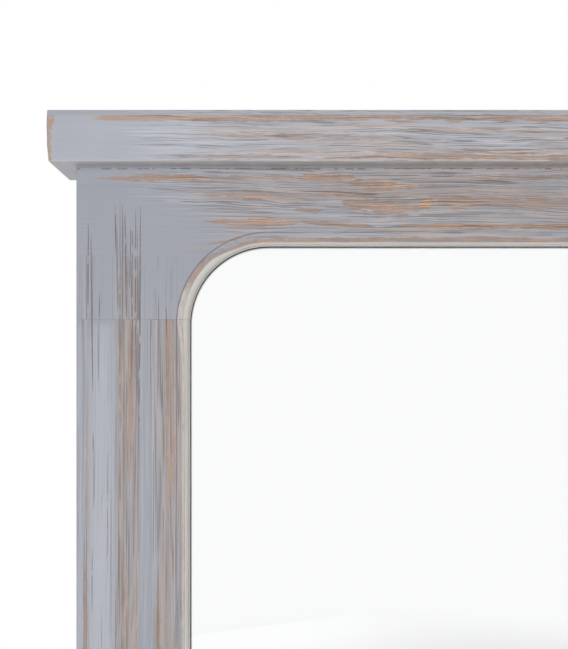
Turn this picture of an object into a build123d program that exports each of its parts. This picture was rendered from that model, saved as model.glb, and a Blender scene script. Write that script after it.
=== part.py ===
from build123d import *
import os
from math import asin, degrees

os.makedirs("parts", exist_ok=True)

# Driving dimensions, in millimetres: the frame
overall_width = 1118.0
overall_height = 965.0
frame_depth = 33.0
stile_width = 88.0
bottom_rail_height = 88.0
edge_round = 4.0
back_edge_bevel = 1.0

# Crown board
crown_height = 39.5
crown_overhang = 17.0
crown_bevel_drop = 4.8
crown_bevel_run = 2.6
crown_lower_round = 1.6
crown_end_round = 3.0
crown_end_bow = 0.5
crown_end_taper = 1.6
crown_bow_share = 0.7

# Header board, corner blocks and the moulded opening
header_reach = 59.0
header_board_height = 68.0
corner_block_height = 49.5
arc_radius = 62.0
moulding_width = 9.5
moulding_depth = 5.0
moulding_quirk = 0.5
lip_depth = 10.0

# Rabbets, glass and what lies behind it
rabbet_width = 10.0
glass_thickness = 4.0
glass_edge_bevel = 0.4
glass_play = 1.5
cushion_thickness = 1.5
cushion_width = 8.0
batten_width = 18.0
batten_play = 0.5
panel_land = 12.0
panel_thickness = 3.2
panel_recess = 3.5
panel_play = 1.0
fit_clearance = 0.1

# Loose tenons, with their long edges round as the mortise cutter leaves them
tenon_width = 50.0
tenon_thickness = 10.0
tenon_length = 40.0
tenon_end_play = 0.5
tenon_outer_inset = 12.0

# Screws: shank radius, head radius, head height and whole length
panel_screw = (1.75, 3.4, 1.9, 16.0)
crown_screw = (2.5, 4.8, 2.8, 66.0)
hanger_screw = (1.9, 3.6, 2.0, 24.0)
pan_flat_share = 0.7
screw_hole_play = 1.0
panel_screw_pitch = 300.0
crown_screw_count = 4
crown_screw_pitch = 240.0
crown_counterbore_depth = 12.0
crown_counterbore_play = 0.7

# Strap hangers with a swinging ring
hanger_drop = 150.0
strap_thickness = 1.5
strap_width = 16.0
strap_length = 44.0
strap_fold_length = 18.0
strap_end_round = 5.0
strap_leaf_round = 2.5
strap_screw_drops = (12.5, 34.0)
ring_wire_radius = 1.6
ring_play = 0.15
ring_half_width = 15.0
ring_corner_radius = 4.0
ring_side_height = 8.0
ring_wall_gap = 0.3

# Threaded inserts for the posts that carry the mirror on a dresser
support_height = 160.0
insert_pitch_up = 200.0
insert_radius = 5.0
insert_length = 13.0
insert_bore_radius = 3.0
insert_mouth_bevel = 0.45
insert_hole_depth = 20.0

# Places worked out from the sizes above. The origin is the middle of the
# four inserts, on the plane of the frame's back. X runs to the right seen
# from the front, Y from front to back, Z up.
z_bottom = -support_height
z_top = overall_height - support_height
z_crown = z_top - crown_height
y_front = -frame_depth
half_crown = overall_width / 2
half_frame = half_crown - crown_overhang
half_open = half_frame - stile_width
z_open_top = z_crown - header_reach
z_open_bottom = z_bottom + bottom_rail_height
z_header_seam = z_crown - header_board_height
z_block_seam = z_header_seam - corner_block_height
y_glass = y_front + lip_depth
y_cushion = y_glass + glass_thickness
y_batten = y_cushion + cushion_thickness
y_panel = -panel_recess
half_rabbet = half_open + rabbet_width
half_land = half_rabbet + panel_land
x_hardware = (half_land + half_frame) / 2
y_tenon = y_front / 2
past = 1.0


def block(x_low, x_high, y_low, y_high, z_low, z_high):
    """A square-edged block between two corners."""
    size = Box(x_high - x_low, y_high - y_low, z_high - z_low)
    return Pos((x_low + x_high) / 2, (y_low + y_high) / 2, (z_low + z_high) / 2) * size


def slab(points, y_low, y_high):
    """An outline drawn in the mirror's plane, given a thickness along Y."""
    outline = make_face(Polyline(*[(x, y_high, z) for x, z in points], close=True))
    return extrude(outline, amount=y_high - y_low, dir=(0, -1, 0))


def rod(radius, length, place, direction):
    """A round bar that starts at a place and runs along a direction."""
    bar = Cylinder(radius, length, align=(Align.CENTER, Align.CENTER, Align.MIN))
    return Plane(origin=place, z_dir=direction) * bar


def turned(outline, place, direction):
    """A turned shape from its half section, listed as radius and distance along its axis."""
    section = make_face(Polyline(*[(radius, 0, way) for radius, way in outline], close=True))
    return Plane(origin=place, z_dir=direction) * revolve(section, Axis.Z)


def countersunk_screw(size, place, direction):
    """A wood screw with its flat head's top at a place and its shank along a direction."""
    shank, head, head_height, length = size
    outline = [(0, 0), (head, 0), (shank, head_height), (shank, length), (0, length)]
    return turned(outline, place, direction)


def countersunk_hole(size, place, direction):
    """A hole that clears such a screw all round, with a seat for its head."""
    shank, head, head_height, length = size
    wide = head + fit_clearance
    narrow = shank + fit_clearance
    deep = length + screw_hole_play
    outline = [(0, 0), (wide, 0), (narrow, head_height), (narrow, deep), (0, deep)]
    return turned(outline, place, direction)


def pan_screw(size, place, direction):
    """A wood screw with the underside of its raised head at a place."""
    shank, head, head_height, length = size
    flat = head * pan_flat_share
    outline = [(0, -head_height), (flat, -head_height), (head, 0), (shank, 0), (shank, length), (0, length)]
    return turned(outline, place, direction)


def group(shapes):
    """Separate solids that share one node."""
    return Compound(children=[solid for shape in shapes for solid in shape.solids()])


def opening_section(plane, low, high):
    """The void of the opening in section: a moulding at each side, then the lip.

    The wood drops by a small quirk and then falls to the lip in a quarter of
    an ellipse. Lengths along the plane's X run across the opening, and along
    its Y from front to back.
    """
    quirk_y = y_front + moulding_quirk
    lip_y = quirk_y + moulding_depth
    left = low - moulding_width
    right = high + moulding_width
    front = Polyline(
        (left, quirk_y), (left, y_front - past), (right, y_front - past), (right, quirk_y)
    )
    fall_right = EllipticalCenterArc((right, lip_y), moulding_width, moulding_depth, 270, arc_size=-90)
    lip = Polyline((high, lip_y), (high, y_glass + past), (low, y_glass + past), (low, lip_y))
    fall_left = EllipticalCenterArc((left, lip_y), moulding_width, moulding_depth, 0, arc_size=-90)
    return plane * make_face([front, fall_right, lip, fall_left])


def corner_sweep(x_centre, z_centre, side):
    """A quarter turn of the moulding's void about one upper corner's centre."""
    quirk_y = y_front + moulding_quirk
    lip_y = quirk_y + moulding_depth
    outer = arc_radius + moulding_width
    front = Polyline(
        (0, y_glass + past), (0, y_front - past), (outer, y_front - past), (outer, quirk_y)
    )
    fall = EllipticalCenterArc((outer, lip_y), moulding_width, moulding_depth, 270, arc_size=-90)
    lip = Polyline((arc_radius, lip_y), (arc_radius, y_glass + past), (0, y_glass + past))
    section = make_face([front, fall, lip])
    quarter = revolve(section, Axis.Y, -90)
    if side < 0:
        quarter = mirror(quarter, about=Plane.YZ)
    return Pos(x_centre, 0, z_centre) * quarter


def opening_void():
    """The whole opening: square lower corners with mitred moulding, round upper ones."""
    plan = Plane(origin=(0, 0, z_bottom), x_dir=(1, 0, 0), z_dir=(0, 0, 1))
    side = Plane(origin=(-half_frame, 0, 0), x_dir=(0, 0, 1), z_dir=(-1, 0, 0))
    upright = extrude(opening_section(plan, -half_open, half_open), amount=overall_height)
    level = extrude(
        opening_section(side, z_open_bottom, z_open_top), amount=2 * half_frame, dir=(1, 0, 0)
    )
    void = upright & level
    z_centre = z_open_top - arc_radius
    for sign in (-1, 1):
        x_centre = sign * (half_open - arc_radius)
        x_far = sign * half_frame
        corner = block(
            min(x_centre, x_far), max(x_centre, x_far), y_front - 2 * past, 0, z_centre, z_top
        )
        void = void - corner + corner_sweep(x_centre, z_centre, sign)
    return void


def frame_blank():
    """The frame as if cut from one board: outline, opening and the two rabbets."""
    board = block(-half_frame, half_frame, y_front, 0, z_bottom, z_crown)
    front_edges = board.edges().filter_by(Axis.Z).group_by(Axis.Y)[0]
    front_edges += board.edges().filter_by(Axis.X).group_by(Axis.Z)[0].group_by(Axis.Y)[0]
    board = fillet(front_edges, edge_round)
    back_edges = board.faces().sort_by(Axis.Y)[-1].edges().sort_by(Axis.Z)[:-1]
    board = chamfer(back_edges, back_edge_bevel)
    glass_rabbet = block(
        -half_rabbet, half_rabbet, y_glass, past, z_open_bottom - rabbet_width, z_open_top + rabbet_width
    )
    reach = rabbet_width + panel_land
    panel_rabbet = block(
        -half_land, half_land, y_panel, past, z_open_bottom - reach, z_open_top + reach
    )
    return board - opening_void() - glass_rabbet - panel_rabbet


def crown_places():
    """Across the crown, the places of the screws that hold it to the header."""
    first = -crown_screw_pitch * (crown_screw_count - 1) / 2
    return [first + crown_screw_pitch * i for i in range(crown_screw_count)]


panel_screw_inset = (panel_land - panel_play) / 2
z_screw_row = z_open_bottom - rabbet_width - panel_screw_inset


def panel_screw_places():
    """The back panel's screws: centres in the mirror's plane, evenly spaced on each side."""
    x_side = half_rabbet + panel_screw_inset
    z_low = z_screw_row
    z_high = z_open_top + rabbet_width + panel_screw_inset
    across = round(2 * x_side / panel_screw_pitch)
    up = round((z_high - z_low) / panel_screw_pitch)
    places = []
    for i in range(across + 1):
        x = -x_side + 2 * x_side * i / across
        places += [(x, z_low), (x, z_high)]
    for i in range(1, up):
        z = z_low + (z_high - z_low) * i / up
        places += [(-x_side, z), (x_side, z)]
    return places


def tenon_bar(place, along, across, play, end_play):
    """A flat bar with round long edges, centred on a joint."""
    section = SlotOverall(tenon_width + 2 * play, tenon_thickness + 2 * play)
    reach = tenon_length / 2 + end_play
    return extrude(Plane(origin=place, x_dir=across, z_dir=along) * section, amount=reach, both=True)


def tenon(place, along, across):
    """A loose tenon, and the pair of mortises that it fills."""
    bar = tenon_bar(place, along, across, 0, 0)
    return bar, tenon_bar(place, along, across, fit_clearance, tenon_end_play)


x_tenon = half_frame - tenon_outer_inset - tenon_width / 2
x_shoulder = half_open + moulding_width
z_rail_tenon = (z_bottom + z_screw_row) / 2
header_tenons = [tenon((x, y_tenon, z_header_seam), (0, 0, 1), (1, 0, 0)) for x in (-x_tenon, x_tenon)]
block_tenons = [tenon((x, y_tenon, z_block_seam), (0, 0, 1), (1, 0, 0)) for x in (-x_tenon, x_tenon)]
rail_tenons = [
    tenon((x, y_tenon, z_rail_tenon), (1, 0, 0), (0, 0, 1)) for x in (-x_shoulder, x_shoulder)
]

# Crown: a board with ends sanded to a slight bow, rounded at its front corners
# and below, with a bevel cut along its top front edge
y_crown = y_front - crown_overhang
z_bow = z_crown + crown_height * crown_bow_share


def crown_end(sign):
    """The bowed outline of one end, from its foot to its top."""
    return ThreePointArc(
        (sign * (half_crown - crown_end_taper), 0, z_crown),
        (sign * half_crown, 0, z_bow),
        (sign * (half_crown - crown_end_bow), 0, z_top),
    )


end_right = crown_end(1)
end_left = crown_end(-1)
crown_outline = make_face([
    end_right,
    Line(end_right @ 1, end_left @ 1),
    end_left,
    Line(end_left @ 0, end_right @ 0),
])
crown_board = extrude(crown_outline, amount=-y_crown, dir=(0, -1, 0))
front_face = crown_board.faces().sort_by(Axis.Y)[0]
upright_edges = front_face.edges().sort_by(Axis.X)
crown_board = fillet([upright_edges[0], upright_edges[-1]], crown_end_round)
foot_edges = crown_board.faces().sort_by(Axis.Z)[0].edges().sort_by(Axis.Y)[:-1]
crown_board = fillet(foot_edges, crown_lower_round)
bevel = make_face(
    Polyline(
        (-half_crown, y_crown, z_top - crown_bevel_drop),
        (-half_crown, y_crown + crown_bevel_run, z_top),
        (-half_crown, y_crown, z_top),
        close=True,
    )
)
crown_board = crown_board - extrude(bevel, amount=overall_width, dir=(1, 0, 0))

# Screws up through the header into the crown, from counterbores in the rabbet
z_rabbet_top = z_open_top + rabbet_width
y_crown_screw = (y_glass + y_panel) / 2
z_crown_head = z_rabbet_top + crown_counterbore_depth
crown_heads = [(x, y_crown_screw, z_crown_head) for x in crown_places()]
crown_screws = [countersunk_screw(crown_screw, place, (0, 0, 1)) for place in crown_heads]
crown_holes = [countersunk_hole(crown_screw, place, (0, 0, 1)) for place in crown_heads]
counterbore_radius = crown_screw[1] + crown_counterbore_play
counterbore_length = crown_counterbore_depth + past
counterbores = [
    rod(counterbore_radius, counterbore_length, (x, y_crown_screw, z_rabbet_top - past), (0, 0, 1))
    for x in crown_places()
]
crown_board = crown_board - crown_holes

# Back panel and its countersunk screws
y_panel_back = y_panel + panel_thickness
panel_reach = rabbet_width + panel_land - panel_play
panel_heads = [(x, y_panel_back, z) for x, z in panel_screw_places()]
panel_screws = [countersunk_screw(panel_screw, place, (0, -1, 0)) for place in panel_heads]
panel_holes = [countersunk_hole(panel_screw, place, (0, -1, 0)) for place in panel_heads]
back_panel = block(
    -(half_open + panel_reach),
    half_open + panel_reach,
    y_panel,
    y_panel_back,
    z_open_bottom - panel_reach,
    z_open_top + panel_reach,
)
back_panel = back_panel - panel_holes

# Glass, with a polished bevel of its own edges, resting behind the lip
glass_reach = rabbet_width - glass_play
mirror_glass = block(
    -(half_open + glass_reach),
    half_open + glass_reach,
    y_glass,
    y_cushion,
    z_open_bottom - glass_reach,
    z_open_top + glass_reach,
)
mirror_glass = chamfer(mirror_glass.edges(), glass_edge_bevel)


def ring_of_strips(reach, width, y_low, y_high):
    """Four strips round the glass: top and bottom run through, the sides fit between."""
    x_out = half_open + reach
    z_low = z_open_bottom - reach
    z_high = z_open_top + reach
    top = block(-x_out, x_out, y_low, y_high, z_high - width, z_high)
    bottom = block(-x_out, x_out, y_low, y_high, z_low, z_low + width)
    end_room = width + batten_play
    left = block(-x_out, width - x_out, y_low, y_high, z_low + end_room, z_high - end_room)
    right = mirror(left, about=Plane.YZ)
    return top, bottom, left, right


cushions = ring_of_strips(glass_reach, cushion_width, y_cushion, y_batten)
battens = ring_of_strips(rabbet_width - batten_play, batten_width, y_batten, y_panel)

# Threaded inserts on the backs of the stiles
insert_places = [
    (sign * x_hardware, 0, up * insert_pitch_up / 2) for sign in (-1, 1) for up in (-1, 1)
]


def insert(place):
    """A sleeve set flush with the back, with a chamfered mouth."""
    sleeve = rod(insert_radius, insert_length, place, (0, -1, 0))
    sleeve = sleeve - rod(insert_bore_radius, insert_length, place, (0, -1, 0))
    mouth = sleeve.edges().filter_by(GeomType.CIRCLE).group_by(Axis.Y)[-1].sort_by(SortBy.RADIUS)[0]
    return chamfer(mouth, insert_mouth_bevel)


support_inserts = [insert(place) for place in insert_places]
insert_holes = [
    rod(insert_radius + fit_clearance, insert_hole_depth, place, (0, -1, 0)) for place in insert_places
]

# Hangers: a folded strap whose eye carries a D ring
z_hanger = z_crown - hanger_drop
eye_bore = ring_wire_radius + ring_play
eye_radius = eye_bore + strap_thickness
y_eye = eye_radius


def strap(x):
    """One folded strap, seen in section: the plate, the eye and the leaf folded back."""
    sheet = strap_thickness
    x_left = x - strap_width / 2
    x_right = x + strap_width / 2
    plate = block(x_left, x_right, 0, sheet, z_hanger - strap_length, z_hanger)
    plate = fillet(plate.edges().filter_by(Axis.Y).group_by(Axis.Z)[0], strap_end_round)
    leaf = block(x_left, x_right, sheet, 2 * sheet, z_hanger - strap_fold_length, z_hanger)
    leaf = fillet(leaf.edges().filter_by(Axis.Y).group_by(Axis.Z)[0], strap_leaf_round)
    eye = rod(eye_radius, strap_width, (x_left, y_eye, z_hanger), (1, 0, 0))
    bore = rod(eye_bore, strap_width + 2 * past, (x_left - past, y_eye, z_hanger), (1, 0, 0))
    folded = plate.fuse(leaf, eye).clean() - bore
    return folded - [
        rod(hanger_screw[0] + fit_clearance, 3 * sheet, (x, 3 * sheet, z_hanger - drop), (0, -1, 0))
        for drop in strap_screw_drops
    ]


def ring(x):
    """The D ring at rest: it stands on its bar and leans on the frame's back."""
    width = ring_half_width
    corner = ring_corner_radius
    side_top = ring_side_height
    bar = Line((-width + corner, 0), (width - corner, 0))
    turn_right = CenterArc((width - corner, corner), corner, 270, 90)
    side_right = Line((width, corner), (width, side_top))
    bow = CenterArc((0, side_top), width, 0, 180)
    side_left = Line((-width, side_top), (-width, corner))
    turn_left = CenterArc((-width + corner, corner), corner, 180, 90)
    path = Plane.XZ * Wire([bar, turn_right, side_right, bow, side_left, turn_left])
    wire = sweep(Plane.YZ * Circle(ring_wire_radius), path=path)
    reach = ring_side_height + ring_half_width
    lean = degrees(asin((y_eye - ring_wire_radius - ring_wall_gap) / reach))
    return Pos(x, y_eye, z_hanger) * Rot(lean, 0, 0) * wire


hanger_sides = {"left": -x_hardware, "right": x_hardware}
straps = {side: strap(x) for side, x in hanger_sides.items()}
rings = {side: ring(x) for side, x in hanger_sides.items()}
layers = (2 * strap_thickness, strap_thickness)
hanger_places = [
    (x, thick, z_hanger - drop)
    for x in hanger_sides.values()
    for thick, drop in zip(layers, strap_screw_drops)
]
hanger_screws = [pan_screw(hanger_screw, place, (0, -1, 0)) for place in hanger_places]
hanger_hole_radius = hanger_screw[0] + fit_clearance
hanger_hole_depth = hanger_screw[3] + screw_hole_play
hanger_holes = [rod(hanger_hole_radius, hanger_hole_depth, place, (0, -1, 0)) for place in hanger_places]

# The wooden frame, cut into the boards and blocks that it is glued up from
frame = frame_blank()
frame = frame - crown_holes - counterbores - panel_holes - insert_holes - hanger_holes
frame = frame - [mortise for _, mortise in header_tenons + block_tenons + rail_tenons]

outside = half_frame + past
rail_outline = [
    (-x_shoulder, z_bottom - past),
    (-x_shoulder, z_open_bottom - moulding_width),
    (-half_open, z_open_bottom),
    (half_open, z_open_bottom),
    (x_shoulder, z_open_bottom - moulding_width),
    (x_shoulder, z_bottom - past),
]
rail_zone = slab(rail_outline, y_front - past, past)
header_zone = block(-outside, outside, y_front - past, past, z_header_seam, z_crown)
block_zone = block(-outside, outside, y_front - past, past, z_block_seam, z_header_seam)
stile_zone = block(-outside, outside, y_front - past, past, z_bottom - past, z_block_seam) - rail_zone
left_half = block(-outside, 0, y_front - past, past, z_bottom - past, z_top)
right_half = mirror(left_half, about=Plane.YZ)

pieces = {
    "crown_board": [crown_board],
    "header_rail": [frame & header_zone],
    "corner_block_left": [frame & block_zone & left_half],
    "corner_block_right": [frame & block_zone & right_half],
    "stile_left": [frame & stile_zone & left_half],
    "stile_right": [frame & stile_zone & right_half],
    "bottom_rail": [frame & rail_zone],
    "mirror_glass": [mirror_glass],
    "glass_cushions": cushions,
    "glazing_batten_top": [battens[0]],
    "glazing_batten_bottom": [battens[1]],
    "glazing_batten_left": [battens[2]],
    "glazing_batten_right": [battens[3]],
    "back_panel": [back_panel],
    "back_panel_screws": panel_screws,
    "crown_screws": crown_screws,
    "header_tenons": [bar for bar, _ in header_tenons],
    "block_tenons": [bar for bar, _ in block_tenons],
    "rail_tenons": [bar for bar, _ in rail_tenons],
    "support_inserts": support_inserts,
    "hanger_strap_left": [straps["left"]],
    "hanger_strap_right": [straps["right"]],
    "hanger_ring_left": [rings["left"]],
    "hanger_ring_right": [rings["right"]],
    "hanger_screws": hanger_screws,
}

for node, shapes in pieces.items():
    export_step(group(shapes), f"parts/{node}.step")
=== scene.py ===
import functools
import math

import bmesh
import bpy
from bpy.props import FloatProperty, FloatVectorProperty, PointerProperty
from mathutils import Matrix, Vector


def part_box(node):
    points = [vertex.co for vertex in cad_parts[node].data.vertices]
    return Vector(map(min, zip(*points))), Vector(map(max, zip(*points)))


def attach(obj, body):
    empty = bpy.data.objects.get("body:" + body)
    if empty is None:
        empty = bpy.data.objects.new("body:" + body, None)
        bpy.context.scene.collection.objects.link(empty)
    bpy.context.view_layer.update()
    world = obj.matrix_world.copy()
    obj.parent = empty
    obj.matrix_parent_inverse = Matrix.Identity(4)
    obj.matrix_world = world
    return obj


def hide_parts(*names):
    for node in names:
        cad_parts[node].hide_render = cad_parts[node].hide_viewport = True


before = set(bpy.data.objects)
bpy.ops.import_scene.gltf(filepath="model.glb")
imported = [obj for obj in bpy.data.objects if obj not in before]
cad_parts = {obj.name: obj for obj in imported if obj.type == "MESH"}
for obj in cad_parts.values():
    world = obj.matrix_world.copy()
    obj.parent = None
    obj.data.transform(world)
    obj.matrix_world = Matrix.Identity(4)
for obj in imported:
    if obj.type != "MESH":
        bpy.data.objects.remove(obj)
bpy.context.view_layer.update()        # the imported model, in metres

bl_info = {
    "name": "Dressing Mirror",
    "version": (1, 0, 0),
    "blender": (4, 5, 0),
    "location": "3D View > Sidebar > Mirror",
    "description": "Finishes the boards, glass, back and hangers of a painted dressing mirror",
    "category": "Object",
}

MM = 1000.0
MAIN_BODY = "frame"


def corners(node):
    """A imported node's lowest and highest corner, in millimetres."""
    low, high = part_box(node)
    return low * MM, high * MM


CROWN_LOW, CROWN_HIGH = corners("crown_board")
HEADER_LOW, HEADER_HIGH = corners("header_rail")
BLOCK_LOW, BLOCK_HIGH = corners("corner_block_left")
STILE_LOW, STILE_HIGH = corners("stile_left")
RAIL_LOW, _ = corners("bottom_rail")
GLASS_LOW, GLASS_HIGH = corners("mirror_glass")

# The moulded opening as the boards are cut, in millimetres
CORNER_RADIUS = 62.0
MOULDING_WIDTH = 9.5
GLASS_IN_RABBET = 8.5
LIP_HALF = GLASS_HIGH.x - GLASS_IN_RABBET
LIP_TOP = GLASS_HIGH.z - GLASS_IN_RABBET
LIP_FOOT = GLASS_LOW.z + GLASS_IN_RABBET
CROWN_BEVEL = 4.8
# Battens and tenons that lie further than this above or below the opening's middle run level
OPENING_MIDDLE = 300.0
LEVEL_FROM = 360.0

# The silvering, in millimetres: how far it stops short of the glass's edges and lies inside its back
SILVER_INSET = 0.6
SILVER_DEPTH = 0.03

# The stage, in metres: half the floor's side, then each light's name, place, target, size and power setting
FLOOR_HALF = 9.0
TARGET = (0.0, 0.0, 0.35)
LIGHTS = (
    ("key_light", (-1.3, -2.4, 0.5), TARGET, 2.0, "key_power"),
    ("fill_light", (1.6, -2.4, 0.3), TARGET, 1.8, "fill_power"),
    ("low_light", (-0.7, -1.5, -0.05), (-0.2, 0.0, 0.75), 1.2, "low_power"),
    ("back_light", (0.8, 2.6, 1.2), TARGET, 2.0, "key_power"),
)
CAMERA_PLACE = (-0.3799, -0.555, 0.60655)
CAMERA_LENS = 37.33
CAMERA_SHIFT = 0.0747

# The threads, in metres for the screws and in millimetres for the inserts
THREAD_PITCH = 0.0014
INSERT_THREAD = 1.0
# How far a screw reaches from its middle, in metres, how many sides it has, and the seed of its cross's turn
SCREW_SPREAD = 0.008
SCREW_SEGMENTS = 24
SCREW_SEED = 7
# The thread's root and the tip, as shares of the shank's radius
THREAD_ROOT = 0.8
SCREW_TIP = 0.5
# In heights of the head: how far down the thread starts, and what it leaves of the screw's length
THREAD_START = 1.3
THREAD_SPARE = 1.6
# Whether a node's screws are countersunk, the shank's share of the head's radius, the head's height in mm
SCREW_KINDS = {"back_panel_screws": (True, 0.52, 1.9), "hanger_screws": (False, 0.53, 2.0)}
# A head's outline from the middle of its top to its rim, as shares of its radius and of its height
COUNTERSUNK_HEAD = ((0, 0), (0.94, 0), (1, -0.12))
PAN_HEAD = ((0, 0), (0.45, -0.04), (0.8, -0.3), (0.96, -0.62), (1, -1))
# Half the length and half the width of a recess's arm, as shares of its span
RECESS_BOTTOM = (0.45, 0.18)
RECESS_MOUTH = (1.0, 0.24)


def screen(red, green, blue):
    """A colour picker's default from three numbers up to 255."""
    return (red / 255, green / 255, blue / 255)


def linear(colour):
    """A colour as it is seen on a screen, as the linear light that shaders take."""
    light = [c / 12.92 if c <= 0.04045 else ((c + 0.055) / 1.055) ** 2.4 for c in colour]
    return (*light, 1.0)


def colour_property(name, description, *default):
    return FloatVectorProperty(
        name=name, description=description, subtype="COLOR_GAMMA", size=3, min=0, max=1,
        default=screen(*default),
    )


def size_property(name, description, default, **limits):
    return FloatProperty(name=name, description=description, default=default, **limits)


class MirrorPaintSettings(bpy.types.PropertyGroup):
    """Colours and wear of the painted boards."""

    paint_deep: colour_property("Deep paint", "Where the top coat lies thicker", 155, 158, 167)
    paint_pale: colour_property("Pale paint", "Where the top coat is thinly brushed", 173, 176, 185)
    undercoat: colour_property("Undercoat", "Where the top coat is thin", 166, 159, 158)
    brown_wood: colour_property("Brown wood", "Bared and handled wood", 158, 137, 126)
    tan_wood: colour_property("Tan wood", "Rubbed wood", 177, 148, 129)
    orange_wood: colour_property("Orange wood", "Freshly rubbed wood", 202, 163, 130)
    crack: colour_property("Cracks", "Dirt in open grain and joints", 104, 95, 90)
    bare_lip: colour_property("Moulding", "Rubbed moulding on the uprights", 200, 192, 184)
    # Painted highlight: pale colour laid where light falls on the moulding's lip and on the crown's underside
    painted_highlight: colour_property("Lip", "Pale rubbed lip of the moulding", 216, 209, 202)
    # Painted light: the inner wall between the lip and the glass is painted near white so that it shows lit,
    # not shaded
    painted_wall_light: colour_property("Inner lip", "Pale wall between the lip and the glass", 246, 245, 243)
    raw_wood: colour_property("Raw wood", "Unpainted back of the boards", 205, 174, 134)
    raw_dark: colour_property("Raw grain", "Darker summer growth in the raw wood", 176, 138, 98)
    wear: size_property("Wear", "How far the paint is rubbed through", 1.0, min=0, max=2, subtype="FACTOR")
    grain_height: size_property("Grain height", "Height of the raised grain", 0.00025, unit="LENGTH")


class MirrorBackSettings(bpy.types.PropertyGroup):
    """Colours and sizes of the back and its hardware."""

    raw_wood: colour_property("Raw wood", "Bare pine", 208, 178, 138)
    raw_dark: colour_property("Raw grain", "Darker summer growth in the pine", 182, 144, 104)
    board: colour_property("Hardboard", "Pressed board behind the glass", 140, 104, 76)
    board_dark: colour_property("Dark hardboard", "Clouds in the pressed board", 122, 88, 63)
    board_fleck: colour_property("Fibres", "Pale fibres in the pressed board", 168, 134, 102)
    zinc: colour_property("Zinc", "Plating of the screws", 196, 198, 198)
    nickel: colour_property("Nickel", "Plating of the straps and rings", 208, 202, 190)
    brass: colour_property("Brass", "Threaded inserts", 212, 176, 104)
    recess_span: size_property(
        "Recess span", "Width of a screw's cross recess, as a share of its head", 0.6, subtype="FACTOR"
    )
    recess_depth: size_property("Recess depth", "Depth of a screw's cross recess", 0.0012, unit="LENGTH")


class MirrorStageSettings(bpy.types.PropertyGroup):
    """Floor, lights and camera."""

    floor: colour_property("Floor", "Pale floor under the mirror", 232, 232, 232)
    floor_fade: size_property("Floor fade", "Where the floor starts to fade to white", 0.85, unit="LENGTH")
    key_power: size_property("Key light", "Power of the large soft light", 13.5, unit="POWER")
    fill_power: size_property("Fill light", "Power of the light from the right", 6.5, unit="POWER")
    low_power: size_property("Low light", "Power of the light that bounces up", 17.0, unit="POWER")
    sky: size_property("Studio", "Strength of the even light all round", 0.5, min=0)


class Value:
    """One output in a node tree, to calculate with as with a number."""

    def __init__(self, graph, socket):
        self.graph = graph
        self.socket = socket

    def __add__(self, other):
        return self.graph.math("ADD", self, other)

    def __sub__(self, other):
        return self.graph.math("SUBTRACT", self, other)

    def __rsub__(self, other):
        return self.graph.math("SUBTRACT", other, self)

    def __mul__(self, other):
        return self.graph.math("MULTIPLY", self, other)

    def __truediv__(self, other):
        return self.graph.math("DIVIDE", self, other)

    def __abs__(self):
        return self.graph.math("ABSOLUTE", self)

    def least(self, other):
        return self.graph.math("MINIMUM", self, other)

    def most(self, other):
        return self.graph.math("MAXIMUM", self, other)

    def rise(self, low, high):
        """0 up to low and 1 from high on, smooth between, or the reverse where high is the lower."""
        inputs = {"Value": self, "From Min": low, "From Max": high}
        return self.graph.result("ShaderNodeMapRange", inputs, interpolation_type="SMOOTHSTEP")

    def between(self, low, high, soft):
        """1 from low to high, with soft ends."""
        return self.rise(low - soft, low + soft) * self.rise(high + soft, high - soft)

    def mix(self, first, second):
        """Two colours blended by this value."""
        return self.graph.result("ShaderNodeMix", {0: self, 6: first, 7: second}, 2, data_type="RGBA")


class Graph:
    """A node tree, with one short call for each kind of node that the finishes use."""

    def __init__(self, tree):
        self.tree = tree

    def add(self, kind, **settings):
        node = self.tree.nodes.new(kind)
        for name, value in settings.items():
            setattr(node, name, value)
        return node

    def feed(self, socket, value):
        """Gives a socket a plain value or another node's output."""
        if isinstance(value, Value):
            self.tree.links.new(value.socket, socket)
        else:
            socket.default_value = value

    def result(self, node, inputs, output=0, **settings):
        """Feeds a node, or a new one of that kind, by its inputs' names or numbers; gives an output."""
        if isinstance(node, str):
            node = self.add(node, **settings)
        for key, value in inputs.items():
            self.feed(node.inputs[key], value)
        return Value(self, node.outputs[output])

    def math(self, operation, *values):
        return self.result("ShaderNodeMath", dict(enumerate(values)), operation=operation)

    def vector(self, operation, *values):
        return self.result("ShaderNodeVectorMath", dict(enumerate(values)), operation=operation)

    def combine(self, *parts):
        return self.result("ShaderNodeCombineXYZ", dict(enumerate(parts)))

    def noise(self, place, detail=2, roughness=0.5):
        inputs = {"Vector": place, "Scale": 1, "Detail": detail, "Roughness": roughness}
        return self.result("ShaderNodeTexNoise", inputs)

    def cloud(self, place, shares, detail=2, roughness=0.5):
        """Noise on plain coordinates, each multiplied by its own share first."""
        return self.noise(self.vector("MULTIPLY", place, shares), detail, roughness)

    def stretch(self, grain, along, across, seed):
        """Grain coordinates scaled so that one unit of noise is along by across millimetres."""
        size = (1 / along, 1 / across, 1 / across)
        return self.vector("MULTIPLY_ADD", grain, size, (seed, seed * 0.37, -seed * 0.61))

    def group(self, tree, **values):
        inputs = {name.replace("_", " "): value for name, value in values.items()}
        return self.result("ShaderNodeGroup", inputs, node_tree=tree)


def new_group(name, inputs, output, kind="Float", tree_kind="Shader"):
    """An empty node group, with its inputs' values by name and its output's socket."""
    tree = bpy.data.node_groups.new(name, f"{tree_kind}NodeTree")
    for label, input_kind in inputs.items():
        tree.interface.new_socket(label, in_out="INPUT", socket_type=f"NodeSocket{input_kind}")
    tree.interface.new_socket(output, in_out="OUTPUT", socket_type=f"NodeSocket{kind}")
    graph = Graph(tree)
    start = graph.add("NodeGroupInput")
    end = graph.add("NodeGroupOutput")
    inside = {label: Value(graph, start.outputs[label]) for label in inputs}
    return graph, inside, end.inputs[0]


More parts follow.
